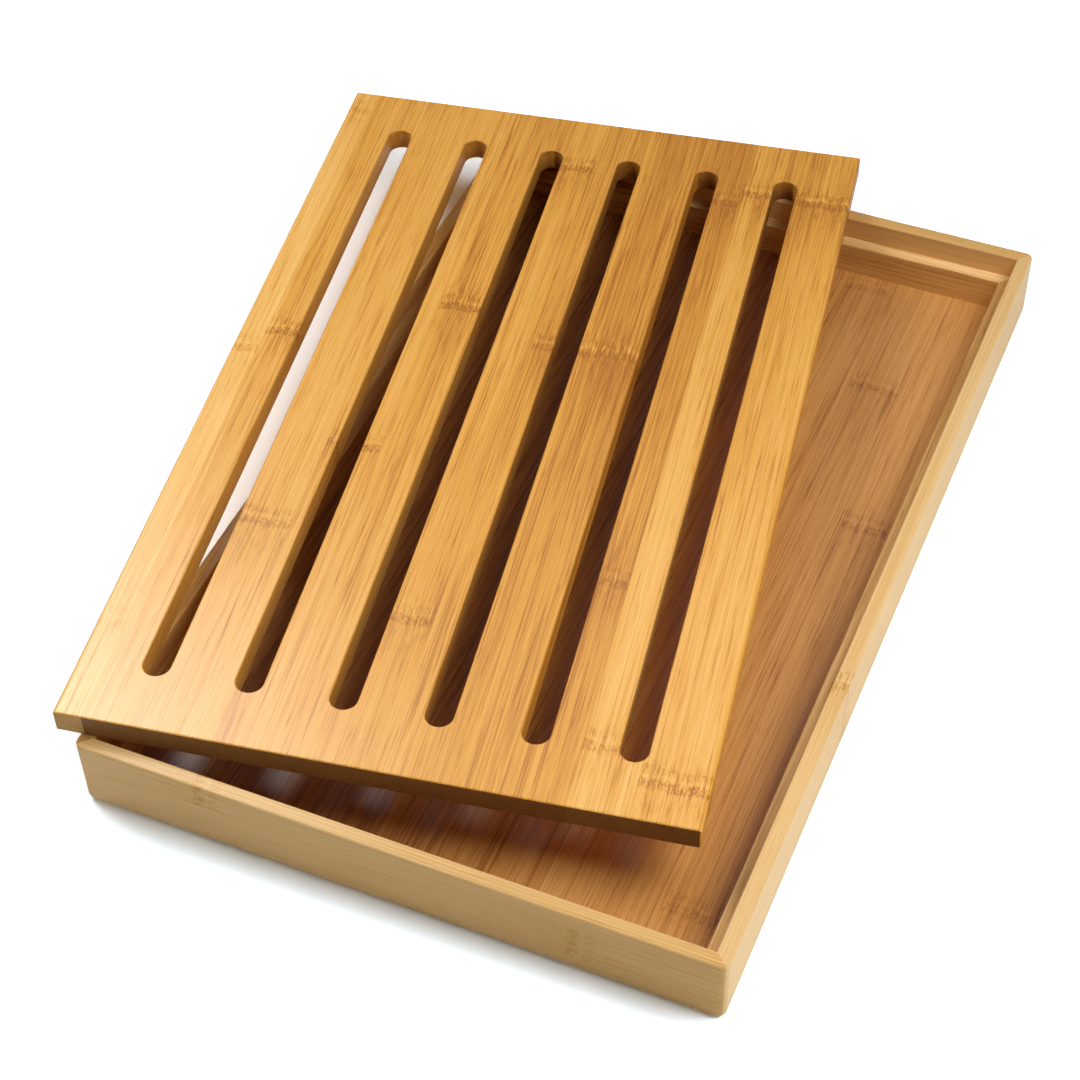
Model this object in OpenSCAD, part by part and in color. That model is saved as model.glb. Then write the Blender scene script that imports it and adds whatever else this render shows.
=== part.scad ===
// Crumb catcher bread board: a slotted bamboo cutting board over a mitred bamboo tray.
// The board is lifted off and lies askew on the tray's rim. Millimetres, +Z up.
// The origin is the middle of the whole part's footprint, on the table.

/* [Tray] */
// Length of the tray over its end walls
tray_l = 400; // [340:1:460]
// Width of the tray over its side walls
tray_w = 253; // [220:1:290]
// Height of the tray walls
tray_h = 32; // [28:0.5:44]
// Thickness of the tray walls
wall_t = 6; // [5:0.1:8]
// Radius of the tray's upright outer corners
corner_r = 3.4; // [1:0.1:4]
// Radius of the rim's eased edges
rim_r = 0.9; // [0.3:0.1:1.5]
// Radius of the outer edge that the tray stands on
foot_r = 3; // [0.5:0.1:3.4]

/* [Bottom panel] */
// Thickness of the bottom panel
floor_t = 3.5; // [3:0.1:6]
// Height of the panel's underside above the table
floor_up = 2.5; // [2:0.1:6]
// Depth of the groove in the walls that holds the panel
groove_d = 2.5; // [1.5:0.1:3]
// Room left for the panel to swell inside its groove
groove_gap = 0.5; // [0.2:0.1:1]
// Width of the trimmed strip along the panel's left edge
floor_first_w = 19.8; // [10:0.1:30]
// Width of the trimmed strip along the panel's right edge
floor_last_w = 9.7; // [6:0.1:30]

/* [Ledges] */
// Width of the strips that carry the seated board all round
ledge_w = 5.5; // [4:0.1:12]
// Radius of the strips' eased upper edge
ledge_r = 0.7; // [0.2:0.1:1.5]
// How far the seated board lies below the rim
seat_drop = 0.7; // [0:0.1:3]

/* [Board] */
// Clearance all round between the board and the tray walls
board_gap = 0.5; // [0.3:0.1:2]
// Thickness of the board
board_t = 10.2; // [7:0.1:14]
// Radius of the board's long edges
edge_r = 1.6; // [0.5:0.1:3]
// Radius of the edges at the board's two ends
end_r = 0.7; // [0.2:0.1:1.5]
// Radius of the board's upright corners
board_corner_r = 1; // [0.4:0.1:3]
// Width of the trimmed stave along the board's left edge
stave_first_w = 11.3; // [8:0.1:20]
// Width of the wider stave along the board's right edge
stave_last_w = 25.9; // [15:0.1:30]

/* [Crumb slots] */
// Number of slots
slot_count = 6; // [4:1:6]
// Width of a slot, round at both ends
slot_w = 10.7; // [7:0.1:14]
// Solid land left all round, between the slots and the board's edges
slot_land = 24.5; // [18:0.1:30]
// Width of the bevel round a slot's mouth
slot_ease = 0.4; // [0.2:0.1:1]

/* [Resting place] */
// Offset of the board's middle to the right of the tray's middle
board_x = -49; // [-60:0.5:0]
// Offset of the board's middle behind the tray's middle
board_y = 14.5; // [-30:0.1:30]
// Turn of the board on the rim, seen from above
board_turn = 9.4; // [0:0.1:20]

/* [Hidden] */
$fn = 96;
// Overshoot of cutting shapes
over = 1;
// Clear space between the walls
inner_l = tray_l - 2 * wall_t;
inner_w = tray_w - 2 * wall_t;
// Bottom panel with its tongues in the grooves
panel_l = inner_l + 2 * (groove_d - groove_gap);
panel_w = inner_w + 2 * (groove_d - groove_gap);
floor_top = floor_up + floor_t;
floor_strips = 12;
floor_strip_w = (panel_w - floor_first_w - floor_last_w) / (floor_strips - 2);
// Board, sized to drop inside the walls and seat on the ledges
board_l = inner_l - 2 * board_gap;
board_w = inner_w - 2 * board_gap;
ledge_top = tray_h - seat_drop - board_t;
board_staves = 11;
stave_w = (board_w - stave_first_w - stave_last_w) / (board_staves - 2);
// Slots spread evenly between the lands, each with a straight run to both sides of its middle
slot_pitch = (board_w - 2 * slot_land - slot_w) / (slot_count - 1);
slot_half = board_l / 2 - slot_land - slot_w / 2;
// Middles of the board's upright corner rounds, as it lies on the rim
round_x = board_w / 2 - board_corner_r;
round_y = board_l / 2 - board_corner_r;
lying_x = [
    for (i = [-1, 1], j = [-1, 1])
        board_x + i * round_x * cos(board_turn) - j * round_y * sin(board_turn)
];
lying_y = [
    for (i = [-1, 1], j = [-1, 1])
        board_y + i * round_x * sin(board_turn) + j * round_y * cos(board_turn)
];
// How far the tray and the board together reach from the tray's middle
reach_left = min(-tray_w / 2, min(lying_x) - board_corner_r);
reach_right = max(tray_w / 2, max(lying_x) + board_corner_r);
reach_front = min(-tray_l / 2, min(lying_y) - board_corner_r);
reach_back = max(tray_l / 2, max(lying_y) + board_corner_r);
// Middle of the whole footprint
foot_x = (reach_left + reach_right) / 2;
foot_y = (reach_front + reach_back) / 2;

// Finishes
bamboo_board = [0.89, 0.69, 0.41];
bamboo_pale = [0.95, 0.81, 0.56];
bamboo_tray = [0.85, 0.68, 0.43];
bamboo_floor = [0.75, 0.52, 0.29];

// Left edge of strip k in a row of n, with its own first and last widths
function row_edge(k, n, width, first, last, mid) =
    k <= 1 ? -width / 2 : k > n ? width / 2 : -width / 2 + first + (k - 2) * mid;
function floor_edge(k) =
    row_edge(k, floor_strips, panel_w, floor_first_w, floor_last_w, floor_strip_w);
function stave_edge(k) =
    row_edge(k, board_staves, board_w, stave_first_w, stave_last_w, stave_w);
function slot_x(i) = (i - (slot_count - 1) / 2) * slot_pitch;

// What a round of radius r takes off a square corner at the origin, inside +X +Y
module corner_waste(r) {
    difference() {
        translate([-over, -over])
            square(r + over);
        translate([r, r])
            circle(r);
    }
}

// Rectangle from the origin with all four corners rounded
module eased_rect(w, h, r) {
    difference() {
        square([w, h]);
        for (i = [0, 1], j = [0, 1])
            translate([i * w, j * h])
                mirror([i, 0])
                    mirror([0, j])
                        corner_waste(r);
    }
}

// Section through a wall: X runs inwards from the outer face, Y is up
module wall_section() {
    difference() {
        square([wall_t, tray_h]);
        corner_waste(foot_r);
        translate([0, tray_h])
            mirror([0, 1])
                corner_waste(rim_r);
        translate([wall_t, tray_h])
            rotate(180)
                corner_waste(rim_r);
        translate([wall_t - groove_d, floor_up])
            square([groove_d + over, floor_t]);
    }
}

// Plan of a strip mitred at both ends, with its longer side on the X axis
module mitred_plan(len, width) {
    polygon([
        [-len / 2, 0], [len / 2, 0],
        [len / 2 - width, width], [width - len / 2, width]
    ]);
}

// One quarter of the frame: a wall of length len whose outer face is dist from the middle,
// mitred at both ends, with half of each rounded corner
module mitred_wall(len, dist) {
    translate([0, -dist, 0]) {
        intersection() {
            translate([-len / 2 + corner_r, 0, 0])
                rotate([90, 0, 90])
                    linear_extrude(len - 2 * corner_r)
                        wall_section();
            linear_extrude(tray_h)
                mitred_plan(len, wall_t);
        }
        for (side = [0, 1])
            mirror([side, 0, 0])
                translate([len / 2 - corner_r, corner_r, 0])
                    rotate([0, 0, -90])
                        rotate_extrude(angle = 45)
                            intersection() {
                                translate([corner_r, 0])
                                    mirror([1, 0])
                                        wall_section();
                                square([corner_r, tray_h]);
                            }
    }
}

module wall_front() {
    color(bamboo_tray)
        tray_place()
            mitred_wall(tray_w, tray_l / 2);
}

module wall_right() {
    color(bamboo_tray)
        tray_place()
            rotate([0, 0, 90])
                mitred_wall(tray_l, tray_w / 2);
}

module wall_back() {
    color(bamboo_tray)
        tray_place()
            rotate([0, 0, 180])
                mitred_wall(tray_w, tray_l / 2);
}

module wall_left() {
    color(bamboo_tray)
        tray_place()
            rotate([0, 0, 270])
                mitred_wall(tray_l, tray_w / 2);
}

// One side of the seat frame: a strip of length len on the bottom panel, against a wall whose
// inner face is dist from the middle, mitred at both ends, with its upper inner edge eased
module mitred_ledge(len, dist) {
    translate([0, -dist, floor_top])
        intersection() {
            translate([-len / 2, 0, 0])
                rotate([90, 0, 90])
                    linear_extrude(len)
                        difference() {
                            square([ledge_w, ledge_top - floor_top]);
                            translate([ledge_w, ledge_top - floor_top])
                                rotate(180)
                                    corner_waste(ledge_r);
                        }
            linear_extrude(ledge_top - floor_top)
                mitred_plan(len, ledge_w);
        }
}

module ledge_front() {
    color(bamboo_tray)
        tray_place()
            mitred_ledge(inner_w, inner_l / 2);
}

module ledge_right() {
    color(bamboo_tray)
        tray_place()
            rotate([0, 0, 90])
                mitred_ledge(inner_l, inner_w / 2);
}

module ledge_back() {
    color(bamboo_tray)
        tray_place()
            rotate([0, 0, 180])
                mitred_ledge(inner_w, inner_l / 2);
}

module ledge_left() {
    color(bamboo_tray)
        tray_place()
            rotate([0, 0, 270])
                mitred_ledge(inner_l, inner_w / 2);
}

// Strip k of the edge-glued bottom panel, held in the walls' grooves
module floor_strip(k) {
    color(bamboo_floor)
        tray_place()
            translate([floor_edge(k), -panel_l / 2, floor_up])
                cube([floor_edge(k + 1) - floor_edge(k), panel_l, floor_t]);
}

// Half section of a slot cutter: X out from the middle, Y up through the board
module slot_half_section() {
    mouth = slot_w / 2 + slot_ease + over;
    polygon([
        [0, -over], [mouth, -over], [slot_w / 2, slot_ease],
        [slot_w / 2, board_t - slot_ease], [mouth, board_t + over], [0, board_t + over]
    ]);
}

// Through slot with round ends and bevelled mouths, along Y
module slot_cut() {
    for (side = [0, 1])
        mirror([side, 0, 0])
            translate([0, slot_half, 0])
                rotate([90, 0, 0])
                    linear_extrude(2 * slot_half)
                        slot_half_section();
    for (end = [0, 1])
        mirror([0, end, 0])
            translate([0, slot_half, 0])
                rotate_extrude(angle = 180)
                    slot_half_section();
}

// Outline of the whole board with its long edges and upright corners rounded
module board_outline() {
    intersection() {
        translate([-board_w / 2, board_l / 2 + over, 0])
            rotate([90, 0, 0])
                linear_extrude(board_l + 2 * over)
                    eased_rect(board_w, board_t, edge_r);
        translate([-board_w / 2, -board_l / 2, -over])
            linear_extrude(board_t + 2 * over)
                eased_rect(board_w, board_l, board_corner_r);
    }
}

// Stave k of the edge-glued board, with the parts of the slots that run through it
module board_stave(k) {
    left = stave_edge(k);
    right = stave_edge(k + 1);
    mouth = slot_w / 2 + slot_ease;
    color(k == board_staves - 1 ? bamboo_pale : bamboo_board)
        board_place()
            difference() {
                intersection() {
                    translate([left, -board_l / 2, 0])
                        rotate([90, 0, 90])
                            linear_extrude(right - left)
                                eased_rect(board_l, board_t, end_r);
                    if (k == 1 || k == board_staves)
                        board_outline();
                }
                for (i = [0:slot_count - 1])
                    if (slot_x(i) + mouth > left && slot_x(i) - mouth < right)
                        translate([slot_x(i), 0, 0])
                            slot_cut();
            }
}

module tray_place() {
    translate([-foot_x, -foot_y, 0])
        children();
}

module board_place() {
    translate([board_x - foot_x, board_y - foot_y, tray_h])
        rotate([0, 0, board_turn])
            children();
}

wall_front();
wall_right();
wall_back();
wall_left();
ledge_front();
ledge_right();
ledge_back();
ledge_left();
floor_strip(1);  // floor_strip_01
floor_strip(2);  // floor_strip_02
floor_strip(3);  // floor_strip_03
floor_strip(4);  // floor_strip_04
floor_strip(5);  // floor_strip_05
floor_strip(6);  // floor_strip_06
floor_strip(7);  // floor_strip_07
floor_strip(8);  // floor_strip_08
floor_strip(9);  // floor_strip_09
floor_strip(10);  // floor_strip_10
floor_strip(11);  // floor_strip_11
floor_strip(12);  // floor_strip_12
board_stave(1);  // board_stave_01
board_stave(2);  // board_stave_02
board_stave(3);  // board_stave_03
board_stave(4);  // board_stave_04
board_stave(5);  // board_stave_05
board_stave(6);  // board_stave_06
board_stave(7);  // board_stave_07
board_stave(8);  // board_stave_08
board_stave(9);  // board_stave_09
board_stave(10);  // board_stave_10
board_stave(11);  // board_stave_11
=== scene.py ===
"""Looks of a slotted bamboo bread board that lies askew on its crumb tray.

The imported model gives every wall, ledge strip, floor strip and board stave at its real size and
place. This script gives each of them its own bamboo, with fibres that run along the piece, and
adds the table, the light and the camera. Lengths are in metres, and named ones in MM.
"""

import logging
import math
from dataclasses import dataclass, field, replace
from enum import Enum

import bmesh
import bpy
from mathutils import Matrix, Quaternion, Vector


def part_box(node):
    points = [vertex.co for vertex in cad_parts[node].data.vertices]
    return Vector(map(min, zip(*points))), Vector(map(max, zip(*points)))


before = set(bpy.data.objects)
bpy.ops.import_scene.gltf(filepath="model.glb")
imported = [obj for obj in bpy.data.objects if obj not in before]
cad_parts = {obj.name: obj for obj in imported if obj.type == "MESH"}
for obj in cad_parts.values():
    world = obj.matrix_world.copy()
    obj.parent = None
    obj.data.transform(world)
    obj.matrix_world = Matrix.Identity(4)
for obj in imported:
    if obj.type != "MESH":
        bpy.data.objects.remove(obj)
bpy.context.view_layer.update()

LOG = logging.getLogger("bread_board")
MM = 0.001
PER_MM = 1000.0
UPRIGHT = (0.0, 0.0, 1.0)
WHITE = (1.0, 1.0, 1.0, 1.0)

Colour = tuple[float, float, float, float]
Socket = bpy.types.NodeSocket
Feed = Socket | float | tuple[float, ...]


def paint(red: int, green: int, blue: int) -> Colour:
    """Turn a colour as a screen shows it into the linear one that a shader takes.

    Args:
        red: Red part, 0 to 255.
        green: Green part, 0 to 255.
        blue: Blue part, 0 to 255.

    Returns:
        The linear colour, with full alpha.
    """
    linear = []
    for part in (red, green, blue):
        share = part / 255
        linear.append(share / 12.92 if share <= 0.04045 else ((share + 0.055) / 1.055) ** 2.4)
    return (*linear, 1.0)


class GrainRun(Enum):
    """Turn about the upright axis that lays a pattern's Y along a piece's fibres, in radians."""

    ALONG_TRAY = 0.0
    ACROSS_TRAY = math.radians(-90)
    ALONG_BOARD = math.radians(9.4)


@dataclass(frozen=True)
class Knuckle:
    """A joint of the bamboo cane, which shows as a mottled band across a strip.

    It lies at a place along the strip, in millimetres from the middle of the strip's assembly.
    Where it doesn't run over the whole strip, it keeps between two heights above the table.
    """

    along: float
    strength: float = 1.0
    heights: tuple[float, float] = (-50.0, 90.0)
    comb: float = 1.0
    haze: float = 1.0


@dataclass(frozen=True)
class Cane:
    """What sets one strip of bamboo apart from its neighbours.

    The tone runs from 0, dark and toasted, to 1, pale and raw. It rises by a painted slope of
    light and shade from the strip's middle to its far end, and falls by as much to its near end.
    On the top of a rail it is shifted once more, as painted light where raised and painted shade
    where lowered. The last setting is painted shade on the faces that the router cut, the walls
    of the slots.
    """

    tone: float
    knuckles: tuple[Knuckle, ...] = ()
    flecks: float = 1.0
    end_shade: float = 1.0
    painted_light_slope: float = 0.0
    top: float = -0.09
    slot_wall_shade: float = 0.75


@dataclass(frozen=True)
class BambooFinish:
    """One lot of lacquered bamboo: colours of its fibres and of its cut faces, and its gloss."""

    scorched: Colour
    deep: Colour
    honey: Colour
    pale: Colour
    cut: Colour
    roughness: float
    gloss: float
    streaks: float
    end_share: float


BOARD_FINISH = BambooFinish(
    scorched=paint(152, 91, 24),
    deep=paint(184, 113, 29),
    honey=paint(231, 165, 65),
    pale=paint(250, 201, 120),
    cut=paint(94, 58, 36),
    roughness=0.33,
    gloss=0.18,
    streaks=1.0,
    end_share=0.84,
)
WALL_FINISH = BambooFinish(
    scorched=paint(122, 80, 36),
    deep=paint(178, 126, 60),
    honey=paint(216, 168, 98),
    pale=paint(244, 208, 150),
    cut=paint(150, 102, 50),
    roughness=0.32,
    gloss=0.08,
    streaks=0.45,
    end_share=0.2,
)
LEDGE_FINISH = replace(WALL_FINISH, streaks=1.1)
FLOOR_FINISH = BambooFinish(
    scorched=paint(98, 60, 28),
    deep=paint(164, 105, 52),
    honey=paint(206, 147, 78),
    pale=paint(230, 177, 108),
    cut=paint(120, 74, 36),
    roughness=0.44,
    gloss=0.18,
    streaks=1.0,
    end_share=0.3,
)


@dataclass(frozen=True)
class MarkWeights:
    """How far each mark shifts the tone of a strip, and the darkest tone that a mark can make."""

    fleck: float = -0.12
    end_dot: float = -0.1
    glue_line: float = -0.07
    layer_line: float = -0.1
    knuckle_band: float = -0.36
    knuckle_strokes: float = 0.14
    knuckle_haze: float = -0.10
    darkest: float = 0.1


@dataclass(frozen=True)
class Surface:
    """How the fibres stand out of a planed face, and how they spread its roughness."""

    relief: float = 0.15 * MM
    strength: float = 0.12
    rough_spread: float = 0.1
    fleck_rough: float = 0.08


MARKS = MarkWeights()
PLANED = Surface()


class NodeSketch:
    """Adds nodes to a shader tree and wires them as they are added."""

    SEED_SHIFT = (17.3, 9.1, 5.7)

    def __init__(self, tree: bpy.types.NodeTree) -> None:
        """Keep the tree that the nodes go into."""
        self.tree = tree

    def add(self, kind: str, **settings: object) -> bpy.types.Node:
        """Add one node.

        Args:
            kind: Blender's name for the node's type.
            **settings: Properties of the node.

        Returns:
            The new node.
        """
        node = self.tree.nodes.new(kind)
        for name, value in settings.items():
            setattr(node, name, value)
        return node

    def feed(self, socket: Socket, value: Feed) -> None:
        """Join a socket to another one, or set its plain value."""
        if isinstance(value, bpy.types.NodeSocket):
            self.tree.links.new(value, socket)
        else:
            socket.default_value = value

    def math(self, operation: str, first: Feed, second: Feed = 0.0) -> Socket:
        """Work out a sum, product or other operation on two values, and return its socket."""
        node = self.add("ShaderNodeMath", operation=operation)
        self.feed(node.inputs[0], first)
        self.feed(node.inputs[1], second)
        return node.outputs[0]

    def weighted_sum(self, start: Feed, parts: list[tuple[Feed, float]]) -> Socket:
        """Add weighted values to a starting value.

        Args:
            start: Value to add to.
            parts: Pairs of a value and its weight.

        Returns:
            The socket of the sum.
        """
        total = start
        for value, weight in parts:
            node = self.add("ShaderNodeMath", operation="MULTIPLY_ADD")
            self.feed(node.inputs[0], value)
            self.feed(node.inputs[1], weight)
            self.feed(node.inputs[2], total)
            total = node.outputs[0]
        return total

    def step(self, value: Feed, low: Feed, high: Feed) -> Socket:
        """Rise smoothly from 0 to 1 while a value goes from low to high.

        Args:
            value: The value that is watched.
            low: Where the rise starts.
            high: Where it ends.

        Returns:
            The socket of the result.
        """
        node = self.add("ShaderNodeMapRange", interpolation_type="SMOOTHSTEP")
        self.feed(node.inputs["Value"], value)
        self.feed(node.inputs["From Min"], low)
        self.feed(node.inputs["From Max"], high)
        return node.outputs["Result"]

    def fall(self, value: Feed, low: Feed, high: Feed) -> Socket:
        """Fall smoothly from 1 to 0 while a value goes from low to high, and return its socket."""
        return self.math("SUBTRACT", 1.0, self.step(value, low, high))

    def stretch(self, vector: Socket, factors: tuple[float, float, float], seed: Feed) -> Socket:
        """Scale a place along each axis and shift it, so that each strip has its own pattern.

        Args:
            vector: Place in metres.
            factors: Pattern lengths per millimetre along each axis.
            seed: Number of the strip.

        Returns:
            The socket of the place in the pattern.
        """
        scaled = self.add("ShaderNodeVectorMath", operation="MULTIPLY")
        self.feed(scaled.inputs[0], vector)
        self.feed(scaled.inputs[1], tuple(f * PER_MM for f in factors))
        shift = self.add("ShaderNodeVectorMath", operation="SCALE")
        self.feed(shift.inputs[0], self.SEED_SHIFT)
        self.feed(shift.inputs["Scale"], seed)
        moved = self.add("ShaderNodeVectorMath", operation="ADD")
        self.feed(moved.inputs[0], scaled.outputs[0])
        self.feed(moved.inputs[1], shift.outputs[0])
        return moved.outputs[0]

    def noise(self, vector: Socket, detail: float = 2.0, roughness: float = 0.5) -> Socket:
        """Soft noise at a place in the pattern, and return the socket of its value."""
        node = self.add("ShaderNodeTexNoise")
        self.feed(node.inputs["Vector"], vector)
        self.feed(node.inputs["Scale"], 1.0)
        self.feed(node.inputs["Detail"], detail)
        self.feed(node.inputs["Roughness"], roughness)
        return node.outputs[0]

    def cells(self, vector: Socket) -> Socket:
        """Distance to the nearest of a scatter of points, and return its socket."""
        node = self.add("ShaderNodeTexVoronoi")
        self.feed(node.inputs["Vector"], vector)
        self.feed(node.inputs["Scale"], 1.0)
        return node.outputs["Distance"]

    def blend(self, factor: Feed, first: Feed, second: Feed) -> Socket:
        """Mix two colours.

        Args:
            factor: Share of the second colour.
            first: First colour.
            second: Second colour.

        Returns:
            The socket of the mixed colour.
        """
        node = self.add("ShaderNodeMix", data_type="RGBA", clamp_factor=True)
        colours = [s for s in node.inputs if s.type == "RGBA"]
        self.feed(node.inputs[0], factor)
        self.feed(colours[0], first)
        self.feed(colours[1], second)
        return next(s for s in node.outputs if s.type == "RGBA")

    def axes(self, vector: Socket) -> tuple[Socket, Socket, Socket]:
        """Split a vector, and return the sockets of its three parts."""
        node = self.add("ShaderNodeSeparateXYZ")
        self.feed(node.inputs[0], vector)
        return node.outputs[0], node.outputs[1], node.outputs[2]

    def use(self, group: bpy.types.NodeTree, **values: Feed) -> dict[str, Socket]:
        """Place a shared node group.

        Args:
            group: The group.
            **values: What its inputs take, by their names in lower case with underscores.

        Returns:
            Its output sockets by name.
        """
        node = self.add("ShaderNodeGroup", node_tree=group)
        for socket in node.inputs:
            key = socket.name.lower().replace(" ", "_")
            if key in values:
                self.feed(socket, values[key])
        return {socket.name: socket for socket in node.outputs}


class SharedGroup(NodeSketch):
    """A shader node group with named inputs and outputs."""

    KINDS = {"value": "NodeSocketFloat", "vector": "NodeSocketVector", "colour": "NodeSocketColor"}

    def __init__(self, name: str, inputs: dict[str, str], outputs: dict[str, str]) -> None:
        """Make an empty group.

        Args:
            name: Name of the group.
            inputs: Kind of each input, by its name.
            outputs: Kind of each output, by its name.
        """
        super().__init__(bpy.data.node_groups.new(name, "ShaderNodeTree"))
        for in_out, sockets in (("INPUT", inputs), ("OUTPUT", outputs)):
            for label, kind in sockets.items():
                self.tree.interface.new_socket(label, in_out=in_out, socket_type=self.KINDS[kind])
        self.given = self.add("NodeGroupInput").outputs
        self.result = self.add("NodeGroupOutput").inputs


class BambooPatterns:
    """The node groups that every strip of bamboo shares.

    Grain is given in pattern lengths per millimetre across, along and through a strip, and the
    measures of a knuckle in millimetres.
    """

    FINE_GRAIN = (1.5, 0.02, 1.5)
    MIDDLING_GRAIN = (0.45, 0.004, 0.45)
    BROAD_GRAIN = (0.1, 0.003, 0.16)
    HAIRLINES = (((0.62, 0.005, 0.62), -0.20), ((1.1, 0.014, 1.1), -0.17))
    DASHES = (1.7, 0.045, 1.7)
    DASH_PATCHES = (0.12, 0.014, 0.12)
    KNUCKLE_WANDER = 4.0
    SECOND_ROW = 5.8
    COMB_MIDDLE = 2.8
    HAZE_REACH = 55.0
    WINDOW_EDGE = 1.5 * MM
    BUNDLES = (1.1, 0.01, 1.1)
    LAYER_WIDTH = 1.5
    TONE_STOPS = (0.0, 0.3, 0.6, 1.0)

    def __init__(self) -> None:
        """Build each group once."""
        self.fibres = self.build_fibres()
        self.knuckle = self.build_knuckle()
        self.cut_end = self.build_cut_end()
        self.layers = self.build_layers()
        self.sides = self.build_sides()
        self.palette = self.build_palette()

    def build_fibres(self) -> bpy.types.NodeTree:
        """Long hairlines and streaks along Y, broad drifts of tone, and short dark flecks.

        Returns:
            The group.
        """
        group = SharedGroup(
            "bamboo_fibres",
            {"Place": "vector", "Seed": "value"},
            {"Streak": "value", "Fleck": "value", "Relief": "value"},
        )
        place, seed = group.given["Place"], group.given["Seed"]
        fine = group.noise(group.stretch(place, self.FINE_GRAIN, seed), 3.0, 0.65)
        middling = group.noise(group.stretch(place, self.MIDDLING_GRAIN, seed))
        broad = group.noise(group.stretch(place, self.BROAD_GRAIN, seed), 1.0)
        dashes = group.noise(group.stretch(place, self.DASHES, seed), 1.0)
        patches = group.noise(group.stretch(place, self.DASH_PATCHES, seed), 1.0)
        streak = group.weighted_sum(-0.44, [(fine, 0.44), (middling, 0.28), (broad, 0.24)])
        for grain, weight in self.HAIRLINES:
            waves = group.noise(group.stretch(place, grain, seed), 1.0)
            slope = group.math("ABSOLUTE", group.math("SUBTRACT", waves, 0.5))
            streak = group.weighted_sum(streak, [(group.fall(slope, 0.004, 0.044), weight)])
        dark_dashes = group.step(dashes, 0.56, 0.74)
        fleck = group.math("MULTIPLY", dark_dashes, group.step(patches, 0.42, 0.66))
        group.feed(group.result["Streak"], streak)
        group.feed(group.result["Fleck"], fleck)
        group.feed(group.result["Relief"], fine)
        return group.tree

    def build_knuckle(self) -> bpy.types.NodeTree:
        """One joint of the cane: a mottled band, combed fibres beside it and a toasted haze.

        Returns:
            The group.
        """
        group = SharedGroup(
            "bamboo_knuckle",
            {"Place": "vector"} | dict.fromkeys(("Seed", "Along", "Low", "High"), "value"),
            {"Band": "value", "Strokes": "value", "Haze": "value"},
        )
        place, seed = group.given["Place"], group.given["Seed"]
        low, high = group.given["Low"], group.given["High"]
        _, along, height = group.axes(place)
        above = group.step(height, low, group.math("ADD", low, self.WINDOW_EDGE))
        below = group.fall(height, group.math("SUBTRACT", high, self.WINDOW_EDGE), high)
        window = group.math("MULTIPLY", above, below)
        wander = group.noise(group.stretch(place, (0.13, 0.0, 0.13), seed), 2.0, 0.6)
        offset = group.math("SUBTRACT", along, group.given["Along"])
        offset = group.math("MULTIPLY", offset, PER_MM)
        sway = group.math("SUBTRACT", wander, 0.5)
        offset = group.weighted_sum(offset, [(sway, self.KNUCKLE_WANDER)])
        reach = group.math("ABSOLUTE", offset)
        gap = group.math("ABSOLUTE", group.math("SUBTRACT", offset, self.COMB_MIDDLE))
        second = group.math("ABSOLUTE", group.math("SUBTRACT", offset, self.SECOND_ROW))

        mottle = group.noise(group.stretch(place, (1.25, 0.6, 1.25), seed), 1.0, 0.6)
        spots = group.weighted_sum(0.25, [(group.step(mottle, 0.44, 0.6), 0.75)])
        first_row = group.fall(reach, 1.2, 3.4)
        rows = group.weighted_sum(first_row, [(group.fall(second, 0.8, 3.0), 0.55)])
        band = group.math("MULTIPLY", spots, rows)
        comb = group.noise(group.stretch(place, (1.2, 0.16, 1.2), seed), 1.0)
        strokes = group.math("MULTIPLY", group.step(comb, 0.48, 0.64), group.fall(gap, 2.0, 7.5))
        dashes = group.math("MULTIPLY", group.fall(comb, 0.34, 0.5), group.fall(reach, 5.0, 22.0))
        band = group.weighted_sum(band, [(dashes, 0.4)])
        near_side = group.weighted_sum(0.25, [(group.fall(offset, -2.0, 2.0), 0.75)])
        haze = group.math("MULTIPLY", group.fall(reach, 2.0, self.HAZE_REACH), near_side)
        for label, mask in (("Band", band), ("Strokes", strokes), ("Haze", haze)):
            group.feed(group.result[label], group.math("MULTIPLY", mask, window))
        return group.tree

    def build_cut_end(self) -> bpy.types.NodeTree:
        """Where the strip's two ends are cut across the fibres, and the dots of the bundles there.

        Returns:
            The group.
        """
        group = SharedGroup(
            "bamboo_cut_end",
            {"Place": "vector", "Normal": "vector", "Seed": "value", "Half Length": "value"},
            {"Mask": "value", "Dots": "value"},
        )
        place = group.given["Place"]
        endways = group.math("ABSOLUTE", group.axes(group.given["Normal"])[1])
        along = group.math("ABSOLUTE", group.axes(place)[1])
        inset = group.math("SUBTRACT", group.given["Half Length"], along)
        at_end = group.fall(inset, 2 * MM, 4 * MM)
        mask = group.math("MULTIPLY", group.step(endways, 0.75, 0.96), at_end)
        dots = group.cells(group.stretch(place, self.BUNDLES, group.given["Seed"]))
        dots = group.math("MULTIPLY", mask, group.fall(dots, 0.12, 0.42))
        group.feed(group.result["Mask"], mask)
        group.feed(group.result["Dots"], dots)
        return group.tree

    def build_layers(self) -> bpy.types.NodeTree:
        """The top of a rail, and the fine lines on it between the layers that it is glued from.

        Returns:
            The group.
        """
        group = SharedGroup(
            "glued_layers",
            {"Place": "vector", "Normal": "vector", "Seed": "value"},
            {"Line": "value", "Top": "value"},
        )
        place = group.given["Place"]
        drift = group.noise(group.stretch(place, (0.0, 0.004, 0.0), group.given["Seed"]), 1.0)
        turns = group.weighted_sum(drift, [(group.axes(place)[0], PER_MM / self.LAYER_WIDTH)])
        gap = group.math("ABSOLUTE", group.math("SUBTRACT", group.math("FRACT", turns), 0.5))
        line = group.math("MULTIPLY", group.fall(gap, 0.05, 0.2), group.step(drift, 0.3, 0.5))
        # The top mask carries painted light and shade onto the top of a rail.
        top = group.step(group.axes(group.given["Normal"])[2], 0.6, 0.9)
        group.feed(group.result["Line"], group.math("MULTIPLY", line, top))
        group.feed(group.result["Top"], top)
        return group.tree

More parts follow.
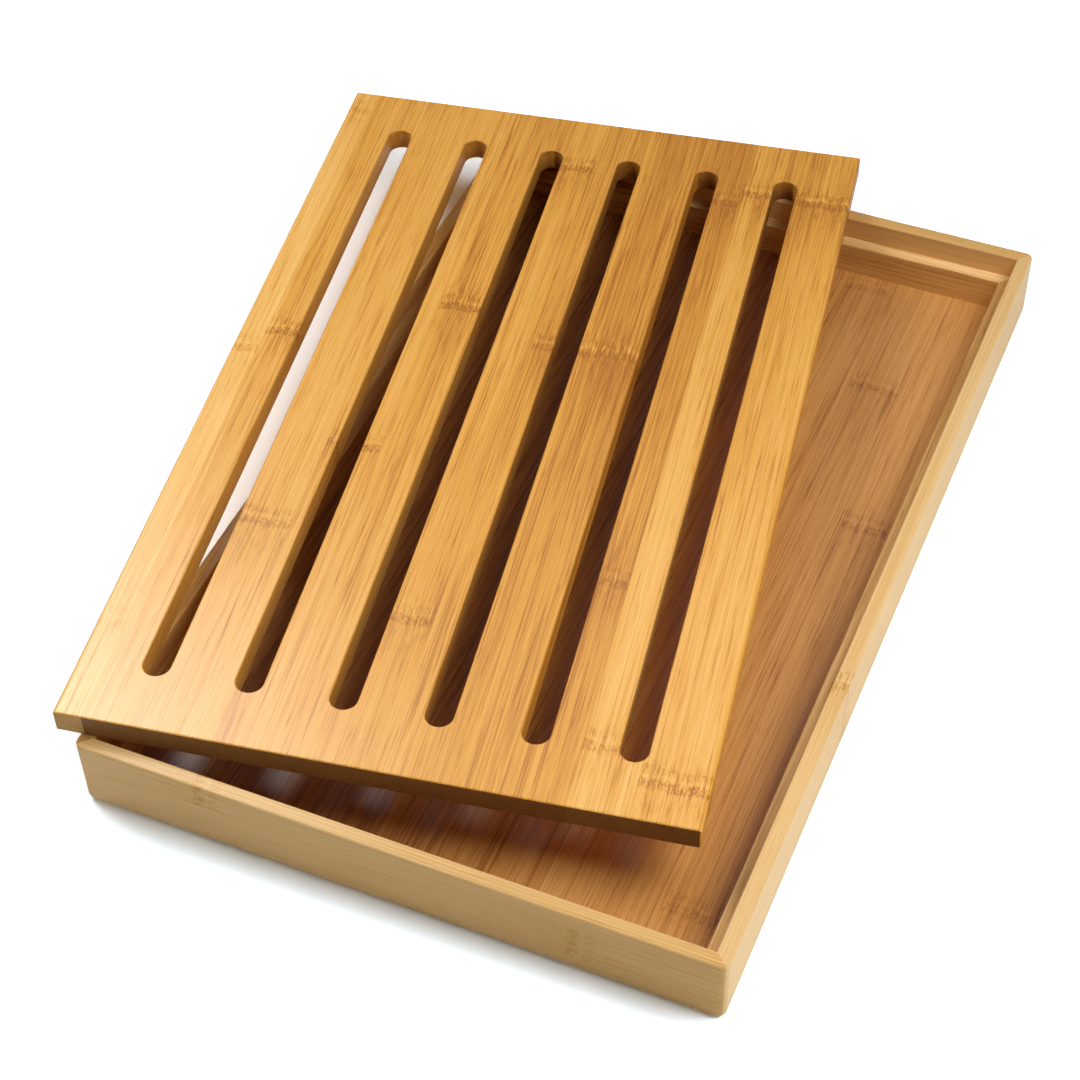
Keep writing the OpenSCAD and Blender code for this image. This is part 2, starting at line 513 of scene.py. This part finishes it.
    def build_sides(self) -> bpy.types.NodeTree:
        """Hairline of glue along both long sides of a strip, and painted shade on router-cut
        faces.

        Returns:
            The group.
        """
        group = SharedGroup(
            "stave_sides",
            {"Place": "vector", "Normal": "vector", "Half Width": "value", "Half Length": "value"},
            {"Line": "value", "Routed": "value"},
        )
        across, along, height = group.axes(group.given["Place"])
        across, along = (group.math("ABSOLUTE", place) for place in (across, along))
        inset = group.math("SUBTRACT", group.given["Half Width"], across)
        end_inset = group.math("SUBTRACT", group.given["Half Length"], along)
        inside = group.step(group.math("MINIMUM", inset, end_inset), 0.2 * MM, 1.2 * MM)
        level = group.math("ABSOLUTE", group.axes(group.given["Normal"])[2])
        routed = group.math("MULTIPLY", inside, group.fall(level, 0.3, 0.8))
        # Painted shade on the router-cut faces, darker towards their bottom.
        deep = group.weighted_sum(0.55, [(group.fall(height, -5 * MM, 5 * MM), 0.6)])
        group.feed(group.result["Line"], group.fall(inset, 0.02 * MM, 0.35 * MM))
        group.feed(group.result["Routed"], group.math("MULTIPLY", deep, routed))
        return group.tree

    def build_palette(self) -> bpy.types.NodeTree:
        """Turn a tone into a colour of the finish.

        Returns:
            The group.
        """
        colours = ("Scorched", "Deep", "Honey", "Pale")
        inputs = {"Tone": "value"} | dict.fromkeys(colours, "colour")
        group = SharedGroup("bamboo_palette", inputs, {"Colour": "colour"})
        colour = group.given["Scorched"]
        for label, low, high in zip(colours[1:], self.TONE_STOPS, self.TONE_STOPS[1:]):
            above = group.math("SUBTRACT", group.given["Tone"], low)
            share = group.math("DIVIDE", above, high - low)
            colour = group.blend(share, colour, group.given[label])
        group.feed(group.result["Colour"], colour)
        return group.tree


@dataclass
class BambooStrip:
    """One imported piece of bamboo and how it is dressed."""

    KNUCKLE_SEED_STEP = 0.37

    name: str
    cane: Cane
    finish: BambooFinish
    run: GrainRun
    seed: int
    half_length: float
    half_width: float | None = None
    origin: Vector | None = None

    def middle(self) -> Vector:
        """Middle of the piece's box at rest."""
        low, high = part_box(self.name)
        return (low + high) / 2

    def dress(self, patterns: BambooPatterns) -> None:
        """Give the piece its own material, with the pattern laid along its fibres.

        Args:
            patterns: The shared node groups.
        """
        material = bpy.data.materials.new(f"bamboo_{self.name}")
        material.use_nodes = True
        sketch = NodeSketch(material.node_tree)
        shader = material.node_tree.nodes["Principled BSDF"]
        middle = self.middle()
        place, normal = self.lay_pattern(sketch, middle)
        fibres = sketch.use(patterns.fibres, place=place, seed=float(self.seed))
        ends = sketch.use(
            patterns.cut_end,
            place=place,
            normal=normal,
            seed=float(self.seed),
            half_length=self.half_length,
        )
        cut = sketch.math("MULTIPLY", ends["Mask"], self.finish.end_share * self.cane.end_shade)
        parts = [
            (fibres["Streak"], self.finish.streaks),
            # The tone's slope along the strip is painted light and shade.
            (sketch.axes(place)[1], self.cane.painted_light_slope / self.half_length),
            (fibres["Fleck"], MARKS.fleck * self.cane.flecks),
            (ends["Dots"], MARKS.end_dot),
        ]
        if self.half_width is not None:
            sides = sketch.use(
                patterns.sides,
                place=place,
                normal=normal,
                half_width=self.half_width,
                half_length=self.half_length,
            )
            parts.append((sides["Line"], MARKS.glue_line))
            # The router-cut slot walls are blended towards the cut colour: painted shade.
            cut = sketch.weighted_sum(cut, [(sides["Routed"], self.cane.slot_wall_shade)])
        else:
            layers = sketch.use(patterns.layers, place=place, normal=normal, seed=float(self.seed))
            # The top of a rail is shifted as painted light where raised and painted shade where
            # lowered.
            parts += [(layers["Line"], MARKS.layer_line), (layers["Top"], self.cane.top)]
        start = self.origin if self.origin is not None else middle
        turned = Quaternion(UPRIGHT, -self.run.value) @ (middle - start)
        for number, knuckle in enumerate(self.cane.knuckles):
            marks = sketch.use(
                patterns.knuckle,
                place=place,
                seed=self.seed + self.KNUCKLE_SEED_STEP * number,
                along=knuckle.along * MM - turned.y,
                low=knuckle.heights[0] * MM - middle.z,
                high=knuckle.heights[1] * MM - middle.z,
            )
            parts += [
                (marks["Band"], MARKS.knuckle_band * knuckle.strength),
                (marks["Strokes"], MARKS.knuckle_strokes * knuckle.strength * knuckle.comb),
                (marks["Haze"], MARKS.knuckle_haze * knuckle.strength * knuckle.haze),
            ]
        tone = sketch.math("MAXIMUM", sketch.weighted_sum(self.cane.tone, parts), MARKS.darkest)
        finish = self.finish
        colour = sketch.use(
            patterns.palette,
            tone=tone,
            scorched=finish.scorched,
            deep=finish.deep,
            honey=finish.honey,
            pale=finish.pale,
        )
        sketch.feed(shader.inputs["Base Color"], sketch.blend(cut, colour["Colour"], finish.cut))
        shader.inputs["Specular IOR Level"].default_value = finish.gloss
        rough = sketch.weighted_sum(
            finish.roughness - PLANED.rough_spread / 2,
            [(fibres["Relief"], PLANED.rough_spread), (fibres["Fleck"], PLANED.fleck_rough)],
        )
        sketch.feed(shader.inputs["Roughness"], rough)
        bump = sketch.add("ShaderNodeBump")
        bump.inputs["Strength"].default_value = PLANED.strength
        bump.inputs["Distance"].default_value = PLANED.relief
        sketch.feed(bump.inputs["Height"], fibres["Relief"])
        sketch.feed(shader.inputs["Normal"], bump.outputs["Normal"])
        self.coat(material)

    def lay_pattern(self, sketch: NodeSketch, middle: Vector) -> tuple[Socket, Socket]:
        """Turn places and normals so that Y runs along the fibres.

        Args:
            sketch: The material's nodes.
            middle: Where the pattern starts.

        Returns:
            The sockets of the place and of the normal.
        """
        coordinates = sketch.add("ShaderNodeTexCoord")
        laid = []
        for label in ("Object", "Normal"):
            mapping = sketch.add("ShaderNodeMapping", vector_type="TEXTURE")
            mapping.inputs["Rotation"].default_value = (0, 0, self.run.value)
            if label == "Object":
                mapping.inputs["Location"].default_value = middle
            sketch.feed(mapping.inputs["Vector"], coordinates.outputs[label])
            laid.append(mapping.outputs["Vector"])
        return laid[0], laid[1]

    def coat(self, material: bpy.types.Material) -> None:
        """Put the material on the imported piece."""
        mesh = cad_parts[self.name].data
        mesh.materials.clear()
        mesh.materials.append(material)
        count = len(self.cane.knuckles)
        LOG.info("%s dressed, tone %.2f, knuckles %d", self.name, self.cane.tone, count)


def row_of(names: str, count: int) -> list[str]:
    """Names of a numbered row of pieces."""
    return [f"{names}_{number:02d}" for number in range(1, count + 1)]


def span(names: list[str]) -> tuple[Vector, Vector]:
    """Lowest and highest corner of several pieces together."""
    boxes = [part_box(name) for name in names]
    low = Vector([min(box[0][axis] for box in boxes) for axis in range(3)])
    high = Vector([max(box[1][axis] for box in boxes) for axis in range(3)])
    return low, high


@dataclass
class SlottedBoard:
    """The lift-off cutting board, edge-glued from staves."""

    # Every stave's tone grows paler towards its front end, painted light, and the walls of its
    # slots take painted shade.
    staves: tuple[Cane, ...] = (
        # The first stave's cut end is kept paler: painted light from the white table under it.
        Cane(
            0.84,
            (Knuckle(180, 0.7), Knuckle(10, 0.8, haze=0.3), Knuckle(-148, 0.5)),
            end_shade=0.5,
            painted_light_slope=-0.06,
        ),
        Cane(0.64, (Knuckle(23, 1.0, haze=0.3),), painted_light_slope=-0.04, slot_wall_shade=0.4),
        Cane(0.65, (Knuckle(-85, 0.8),), painted_light_slope=-0.03, slot_wall_shade=0.5),
        Cane(0.66, (Knuckle(-37, 0.8),), painted_light_slope=-0.03, slot_wall_shade=0.5),
        Cane(0.60, (Knuckle(54, 0.9, haze=0.5),), painted_light_slope=-0.05, slot_wall_shade=0.55),
        Cane(0.60, (Knuckle(158, 0.8), Knuckle(-122, 0.7, haze=0.7)), painted_light_slope=-0.02),
        Cane(0.53, (Knuckle(37, 0.7, haze=1.2),), painted_light_slope=-0.05, slot_wall_shade=0.7),
        Cane(0.48, (Knuckle(38, 0.65, comb=2.0, haze=1.2),), painted_light_slope=-0.06, slot_wall_shade=0.9),
        Cane(0.48, (Knuckle(148, 0.8), Knuckle(-87, 0.65, haze=1.4)), painted_light_slope=-0.05),
        Cane(0.68, (Knuckle(157, 0.8), Knuckle(-165, 0.8, haze=0.4)), painted_light_slope=-0.09),
        Cane(0.645, (Knuckle(155, 1.0), Knuckle(-177, 1.0, haze=0.4)), flecks=1.3, painted_light_slope=-0.08),
    )
    first_width: float = 11.3 * MM
    last_width: float = 25.9 * MM
    length: float = 387.0 * MM
    width: float = 240.0 * MM
    names: list[str] = field(default_factory=lambda: row_of("board_stave", 11))

    def stave_width(self, number: int) -> float:
        """Width of a stave, counted from 0 at the left."""
        if number == 0:
            return self.first_width
        if number == len(self.names) - 1:
            return self.last_width
        return (self.width - self.first_width - self.last_width) / (len(self.names) - 2)

    def dress(self, patterns: BambooPatterns) -> None:
        """Dress every stave.

        Args:
            patterns: The shared node groups.
        """
        low, high = span(self.names)
        for number, (name, cane) in enumerate(zip(self.names, self.staves)):
            strip = BambooStrip(
                name,
                cane,
                BOARD_FINISH,
                GrainRun.ALONG_BOARD,
                seed=number + 1,
                half_length=self.length / 2,
                half_width=self.stave_width(number) / 2,
                origin=(low + high) / 2,
            )
            strip.dress(patterns)


@dataclass
class CrumbTray:
    """The mitred tray: four walls, the ledge frame and the edge-glued bottom panel."""

    walls: dict[str, Cane] = field(
        default_factory=lambda: {
            # The front wall's tone grows paler towards its left end: painted light.
            "wall_front": Cane(
                0.83, (Knuckle(-75, 0.6, (20, 33)), Knuckle(70, 0.5, (6, 26))), painted_light_slope=-0.08
            ),
            # The right wall's pale tone is painted light on its face, and its darker top is
            # painted shade.
            "wall_right": Cane(1.0, (Knuckle(-69, 0.8),), top=-0.18),
            # The back wall grows darker towards its left end: painted shade.
            "wall_back": Cane(0.68, painted_light_slope=0.10),
            # The left wall's darker tone is painted shade, where it shows under the board.
            "wall_left": Cane(0.60),
        }
    )
    ledges: dict[str, Cane] = field(
        default_factory=lambda: {
            "ledge_front": Cane(0.78),
            # The right ledge grows darker towards its back end: painted shade of the right wall.
            "ledge_right": Cane(0.81, painted_light_slope=-0.08),
            # The back ledge's darker faces and lighter top are painted shade and painted light,
            # and it grows darker towards its left end: painted shade.
            "ledge_back": Cane(0.55, painted_light_slope=0.14, top=0.25),
            "ledge_left": Cane(0.78),
        }
    )
    # Strips one to seven, under most of the board, are darker: painted shade. The others differ in
    # tone.
    floor_tones_and_shade: tuple[float, ...] = (
        0.33,
        0.35,
        0.34,
        0.32,
        0.35,
        0.37,
        0.46,
        0.58,
        0.68,
        0.62,
        0.61,
        0.57,
    )
    # Strips six, seven and nine grow paler towards their front end: painted light.
    floor_painted_slopes: dict[int, float] = field(default_factory=lambda: {6: -0.10, 7: -0.12, 9: -0.05})
    floor_knuckles: dict[int, tuple[Knuckle, ...]] = field(
        default_factory=lambda: {
            9: (Knuckle(180, 0.5),),
            10: (Knuckle(118, 0.6),),
            11: (Knuckle(36, 0.6), Knuckle(-167, 0.5)),
        }
    )
    floor_flecks: float = 1.5
    first_seed: int = 20

    def dress(self, patterns: BambooPatterns) -> None:
        """Dress the walls, the ledges and the floor.

        Args:
            patterns: The shared node groups.
        """
        low, high = span(list(self.walls))
        middle = (low + high) / 2
        seed = self.first_seed
        for name, cane in (self.walls | self.ledges).items():
            across = name.endswith(("front", "back"))
            run = GrainRun.ACROSS_TRAY if across else GrainRun.ALONG_TRAY
            corner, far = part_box(name)
            half_length = max(far.x - corner.x, far.y - corner.y) / 2
            finish = WALL_FINISH if name in self.walls else LEDGE_FINISH
            BambooStrip(name, cane, finish, run, seed, half_length, origin=middle).dress(patterns)
            seed += 1
        for number, tone in enumerate(self.floor_tones_and_shade, start=1):
            name = f"floor_strip_{number:02d}"
            corner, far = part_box(name)
            knuckles = self.floor_knuckles.get(number, ())
            painted_light_slope = self.floor_painted_slopes.get(number, 0.0)
            strip = BambooStrip(
                name,
                Cane(tone, knuckles, self.floor_flecks, painted_light_slope=painted_light_slope),
                FLOOR_FINISH,
                GrainRun.ALONG_TRAY,
                seed + number,
                half_length=(far.y - corner.y) / 2,
                half_width=(far.x - corner.x) / 2,
                origin=middle,
            )
            strip.dress(patterns)


@dataclass(frozen=True)
class Lamp:
    """A soft box and the point that it faces."""

    name: str
    place: tuple[float, float, float]
    aim: tuple[float, float, float]
    side: float
    watts: float
    gloss_only: bool = False

    def hang(self) -> None:
        """Add the lamp to the scene."""
        data = bpy.data.lights.new(self.name, "AREA")
        data.shape = "SQUARE"
        data.size = self.side
        data.energy = self.watts
        lamp = bpy.data.objects.new(self.name, data)
        lamp.location = self.place
        lamp.visible_diffuse = not self.gloss_only
        lamp.rotation_mode = "QUATERNION"
        lamp.rotation_quaternion = (Vector(self.aim) - Vector(self.place)).to_track_quat("-Z", "Y")
        bpy.context.scene.collection.objects.link(lamp)
        LOG.info("%s hung, %.0f W", self.name, self.watts)


@dataclass
class Studio:
    """White table, soft light all round and the camera."""

    table_half: float = 4.0
    table_drop: float = 0.05 * MM
    table_roughness: float = 0.7
    table_gloss: float = 0.1
    table_colour: Colour = (0.93, 0.93, 0.93, 1.0)
    table_shown: Colour = (1.65, 1.88, 2.1, 1.0)
    # Under the board the camera sees the table darker: a painted shadow.
    shade_shown: Colour = (1.25, 1.30, 1.33, 1.0)
    shade_middle: tuple[float, float, float] = (-0.0161, 0.0218, 0.0)
    shade_half: tuple[float, float] = (0.125, 0.200)
    shade_edge: float = 10 * MM
    table_near: float = 0.28
    table_far: float = 0.62
    sky_level: float = 0.04
    lamps: tuple[Lamp, ...] = (
        Lamp("right_lamp", (0.56, -0.06, 0.78), (0.05, -0.60, 0.0), 0.50, 7.0),
        Lamp("left_lamp", (-0.62, 0.08, 0.68), (0.05, -0.60, 0.0), 0.45, 5.2),
        Lamp("front_lamp", (-0.34, -0.98, 0.38), (0.0, -0.15, 0.0), 0.60, 0.76),
        Lamp("side_lamp", (0.95, 0.00, 0.22), (0.16, 0.0, 0.02), 0.50, 0.5),
        Lamp("gloss_card", (-0.403, 0.143, 0.72), (0.0, 0.0, 0.0), 0.245, 9.2, gloss_only=True),
        Lamp("back_card", (-0.05, 0.42, 0.74), (0.0, 0.0, 0.0), 0.245, 1.4, gloss_only=True),
    )
    camera_place: tuple[float, float, float] = (0.27972, -0.62138, 0.69151)
    camera_aim: tuple[float, float, float] = (0.02311, -0.04389, 0.02)
    camera_roll: float = math.radians(-1.408)
    camera_lens: float = 76.853
    camera_sensor: float = 36.0

    def build(self) -> None:
        """Set up everything round the object."""
        bpy.context.scene.view_settings.view_transform = "Standard"
        self.lay_table()
        self.light_sky()
        for lamp in self.lamps:
            lamp.hang()
        self.place_camera()

    def lay_table(self) -> None:
        """White table top under the tray."""
        shape = bmesh.new()
        bmesh.ops.create_grid(shape, x_segments=1, y_segments=1, size=self.table_half)
        bmesh.ops.translate(shape, verts=shape.verts, vec=(0, 0, -self.table_drop))
        mesh = bpy.data.meshes.new("table")
        shape.to_mesh(mesh)
        shape.free()
        table = bpy.data.objects.new("table", mesh)
        bpy.context.scene.collection.objects.link(table)
        material = bpy.data.materials.new("white_table")
        material.use_nodes = True
        shader = material.node_tree.nodes["Principled BSDF"]
        shader.inputs["Roughness"].default_value = self.table_roughness
        shader.inputs["Specular IOR Level"].default_value = self.table_gloss
        shader.inputs["Emission Color"].default_value = WHITE
        sketch = NodeSketch(material.node_tree)
        camera_ray = sketch.add("ShaderNodeLightPath").outputs["Is Camera Ray"]
        # The table under the board is shown darker: painted shadow.
        shown = sketch.blend(self.under_board(sketch), self.table_shown, self.shade_shown)
        colour = sketch.blend(camera_ray, self.table_colour, shown)
        sketch.feed(shader.inputs["Base Color"], colour)
        reach = sketch.add("ShaderNodeVectorMath", operation="LENGTH")
        sketch.feed(reach.inputs[0], sketch.add("ShaderNodeTexCoord").outputs["Object"])
        white = sketch.step(reach.outputs["Value"], self.table_near, self.table_far)
        glow = sketch.math("MULTIPLY", self.background_rays(sketch), white)
        sketch.feed(shader.inputs["Emission Strength"], glow)
        mesh.materials.append(material)
        LOG.info("table laid")

    def under_board(self, sketch: NodeSketch) -> Socket:
        """Find the part of the table that lies in the board's shade and shows through its slots.

        Args:
            sketch: The nodes of the table.

        Returns:
            The socket of the mask.
        """
        mapping = sketch.add("ShaderNodeMapping", vector_type="TEXTURE")
        mapping.inputs["Location"].default_value = self.shade_middle
        mapping.inputs["Rotation"].default_value = (0, 0, GrainRun.ALONG_BOARD.value)
        sketch.feed(mapping.inputs["Vector"], sketch.add("ShaderNodeTexCoord").outputs["Object"])
        inside = []
        for place, half in zip(sketch.axes(mapping.outputs["Vector"]), self.shade_half):
            reach = sketch.math("ABSOLUTE", place)
            inside.append(sketch.fall(reach, half - self.shade_edge, half + self.shade_edge))
        return sketch.math("MULTIPLY", inside[0], inside[1])

    def light_sky(self) -> None:
        """Even white light all round, shown as plain white to the camera and in gloss."""
        world = bpy.data.worlds.new("studio")
        world.use_nodes = True
        bpy.context.scene.world = world
        sketch = NodeSketch(world.node_tree)
        shown = self.background_rays(sketch)
        strength = sketch.weighted_sum(self.sky_level, [(shown, 1.0 - self.sky_level)])
        background = world.node_tree.nodes["Background"]
        background.inputs["Color"].default_value = WHITE
        sketch.feed(background.inputs["Strength"], strength)

    def background_rays(self, sketch: NodeSketch) -> Socket:
        """Find the rays that show the background: the camera's own, and those in gloss or glass.

        Args:
            sketch: The nodes of the table or of the sky.

        Returns:
            The socket of the mask.
        """
        rays = sketch.add("ShaderNodeLightPath")
        camera, gloss = rays.outputs["Is Camera Ray"], rays.outputs["Is Glossy Ray"]
        shown = sketch.math("MAXIMUM", camera, gloss)
        return sketch.math("MAXIMUM", shown, rays.outputs["Is Transmission Ray"])

    def place_camera(self) -> None:
        """Stand the camera where the photograph was taken from."""
        data = bpy.data.cameras.new("camera")
        data.lens = self.camera_lens
        data.sensor_width = self.camera_sensor
        camera = bpy.data.objects.new("camera", data)
        camera.location = self.camera_place
        look = Vector(self.camera_aim) - Vector(self.camera_place)
        camera.rotation_mode = "QUATERNION"
        roll = Quaternion(UPRIGHT, self.camera_roll)
        camera.rotation_quaternion = look.to_track_quat("-Z", "Y") @ roll
        bpy.context.scene.collection.objects.link(camera)
        bpy.context.scene.camera = camera


def main() -> None:
    """Dress the board and the tray, then set up the studio."""
    logging.basicConfig(level=logging.INFO, format="%(name)s: %(message)s")
    patterns = BambooPatterns()
    SlottedBoard().dress(patterns)
    CrumbTray().dress(patterns)
    Studio().build()


if __name__ == "__main__":
    main()
